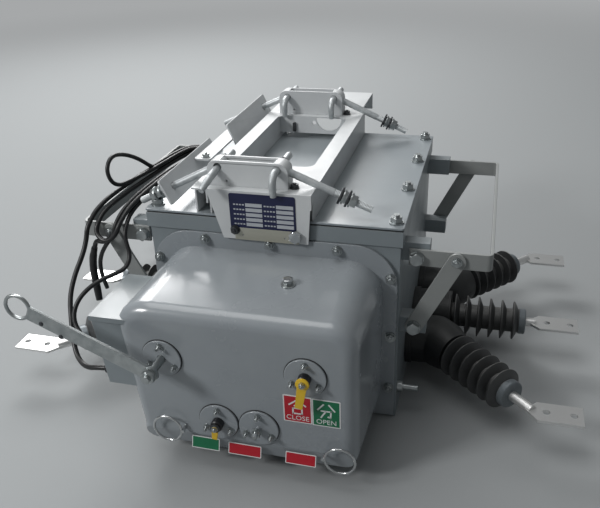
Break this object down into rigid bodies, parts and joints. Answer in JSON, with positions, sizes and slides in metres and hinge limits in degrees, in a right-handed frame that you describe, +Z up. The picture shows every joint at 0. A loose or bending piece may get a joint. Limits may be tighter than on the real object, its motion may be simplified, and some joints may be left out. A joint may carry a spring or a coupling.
{
  "type": "outdoor vacuum circuit breaker",
  "caption": "Outdoor vacuum circuit breaker: sheet-steel tank, rounded mechanism housing with charging lever, fanned silicone bushings, side guards and top hanging frame.",
  "frame": {"origin": "centre of the tank's flat bottom", "axes": "+X to the right seen from the mechanism, +Y to the rear, +Z up"},
  "size_m": [1.112, 0.8873, 0.49],
  "materials": {
    "black_plastic": "matt black",
    "bracket_enamel": "satin grey enamel",
    "bright_wire": "bright",
    "cable_sheath": "matt black sheath",
    "frame_enamel": "smooth pale grey enamel",
    "gasket_rubber": "matt",
    "lid_enamel": "smooth light grey enamel",
    "nameplate": "printed, blank fields",
    "pointer_yellow": "gloss yellow",
    "resin_root": "cast resin",
    "silicone_sheds": "matt silicone rubber",
    "tank_enamel": "smooth grey enamel",
    "tinned_copper": "tinned, satin",
    "zinc_steel": "zinc plated"
  },
  "bodies": {
    "breaker": {"blank_plate": "tank_enamel", "braces_left": "bracket_enamel", "braces_right": "bracket_enamel", "bushing_root_front_left": "resin_root", "bushing_root_front_right": "resin_root", "bushing_root_middle_left": "resin_root", "bushing_root_middle_right": "resin_root", "bushing_root_rear_left": "resin_root", "bushing_root_rear_right": "resin_root", "bushing_sheds_front_left": "silicone_sheds", "bushing_sheds_front_right": "silicone_sheds", "bushing_sheds_middle_left": "silicone_sheds", "bushing_sheds_middle_right": "silicone_sheds", "bushing_sheds_rear_left": "silicone_sheds", "bushing_sheds_rear_right": "silicone_sheds", "cable_gland": "black_plastic", "charge_shaft_plate": "tank_enamel", "clamp_plate_front": "frame_enamel", "clamp_plate_rear": "frame_enamel", "control_cable_hank": "cable_sheath", "control_cable_loop": "cable_sheath", "control_cable_outer": "cable_sheath", "control_cable_sleeve": "cable_sheath", "control_cable_upper": "cable_sheath", "earth_stud": "zinc_steel", "guard_left": "bracket_enamel", "guard_right": "bracket_enamel", "hanger_front": "frame_enamel", "hanger_rear": "frame_enamel", "hook_bolt_front_left": "zinc_steel", "hook_bolt_front_right": "zinc_steel", "hook_bolt_rear_left": "zinc_steel", "hook_bolt_rear_right": "zinc_steel", "lid": "lid_enamel", "lid_gasket": "gasket_rubber", "lower_cable_gland": "black_plastic", "mechanism_flange": "tank_enamel", "mechanism_housing": "tank_enamel", "mounting_frame": "frame_enamel", "nameplate": "nameplate", "position_plate": "tank_enamel", "side_box": "tank_enamel", "side_box_cover": "tank_enamel", "spring_plate": "tank_enamel", "tank_body": "tank_enamel", "tank_rim": "tank_enamel", "terminal_front_left": "tinned_copper", "terminal_front_right": "tinned_copper", "terminal_middle_left": "tinned_copper", "terminal_middle_right": "tinned_copper", "terminal_rear_left": "tinned_copper", "terminal_rear_right": "tinned_copper", "tie_strip": "frame_enamel", "vent_plug": "zinc_steel"},
    "charge_lever": {"charge_lever": "zinc_steel"},
    "position_pointer": {"position_pointer": "pointer_yellow"},
    "spring_pointer": {"spring_pointer": "pointer_yellow"},
    "close_pull_ring": {"close_pull_ring": "bright_wire"},
    "open_pull_ring": {"open_pull_ring": "bright_wire"}
  },
  "joints": [
    {"name": "charge_lever_pivot", "type": "hinge", "parent": "breaker", "child": "charge_lever", "pos_m": [-0.131, -0.432, 0.217], "axis": [0, -1, 0], "range_deg": [-15, 62]},
    {"name": "position_pointer_pivot", "type": "hinge", "parent": "breaker", "child": "position_pointer", "pos_m": [0.109, -0.432, 0.217], "axis": [0, -1, 0], "range_deg": [0, 38]},
    {"name": "spring_pointer_pivot", "type": "hinge", "parent": "breaker", "child": "spring_pointer", "pos_m": [-0.043, -0.432, 0.102], "axis": [0, -1, 0], "range_deg": [0, 60]},
    {"name": "close_pull", "type": "slide", "parent": "breaker", "child": "close_pull_ring", "axis": [0, -1, 0], "range_m": [0, 0.015], "stiffness_N_per_m": 200},
    {"name": "open_pull", "type": "slide", "parent": "breaker", "child": "open_pull_ring", "axis": [0, -1, 0], "range_m": [0, 0.015], "stiffness_N_per_m": 200}
  ]
}
